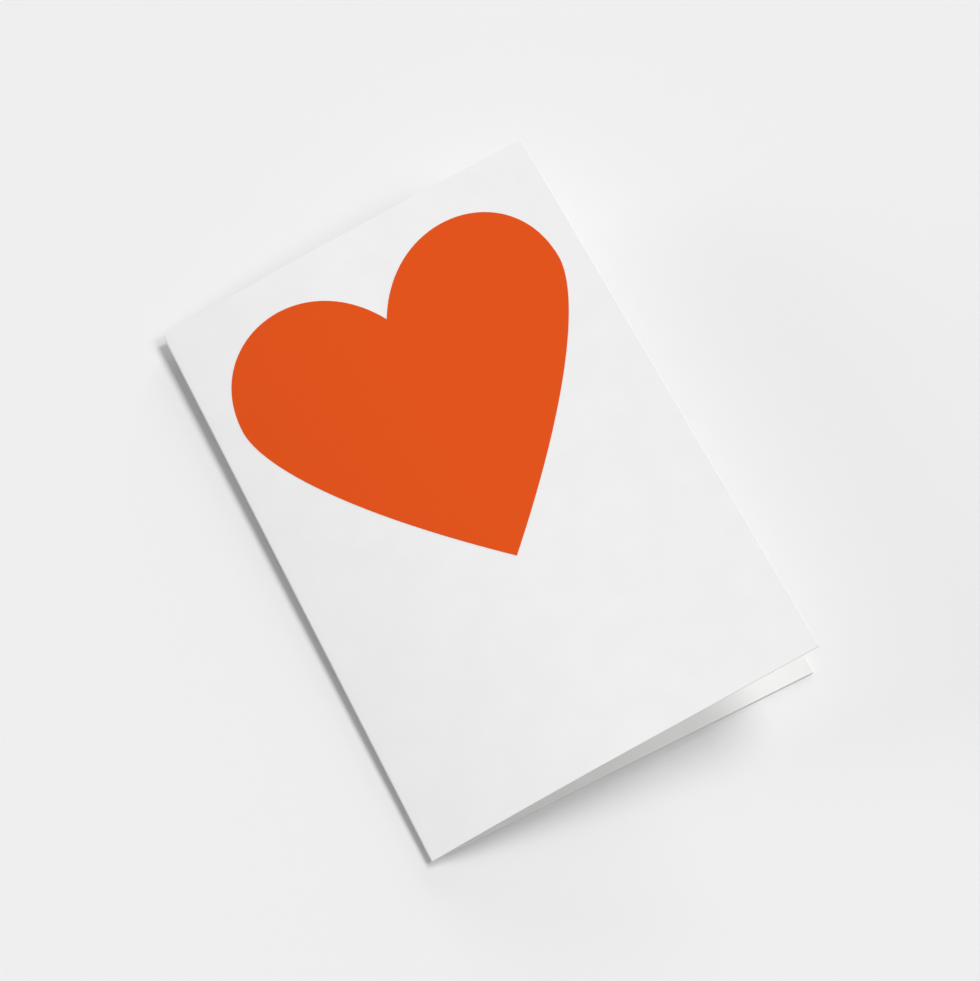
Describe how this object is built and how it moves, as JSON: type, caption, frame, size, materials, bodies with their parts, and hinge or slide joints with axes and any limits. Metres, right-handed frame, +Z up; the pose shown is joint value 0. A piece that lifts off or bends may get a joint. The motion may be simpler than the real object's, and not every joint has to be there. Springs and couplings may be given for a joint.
{
  "type": "greeting card",
  "caption": "Single-fold greeting card lying on its back leaf, its front leaf sprung a little open and printed with a large plain heart.",
  "frame": {"origin": "middle of the card on the table, on the back leaf's underside", "axes": "+X from the fold to the free edges, +Y along the fold to the card's top edge, +Z up from the table"},
  "size_m": [0.12, 0.175, 0.0283],
  "materials": {
    "card_board": "smooth uncoated white board, matte",
    "heart_ink": "flat orange printing ink on the board, matte"
  },
  "bodies": {
    "root": {"card": "card_board", "heart_print": "heart_ink"}
  },
  "joints": []
}
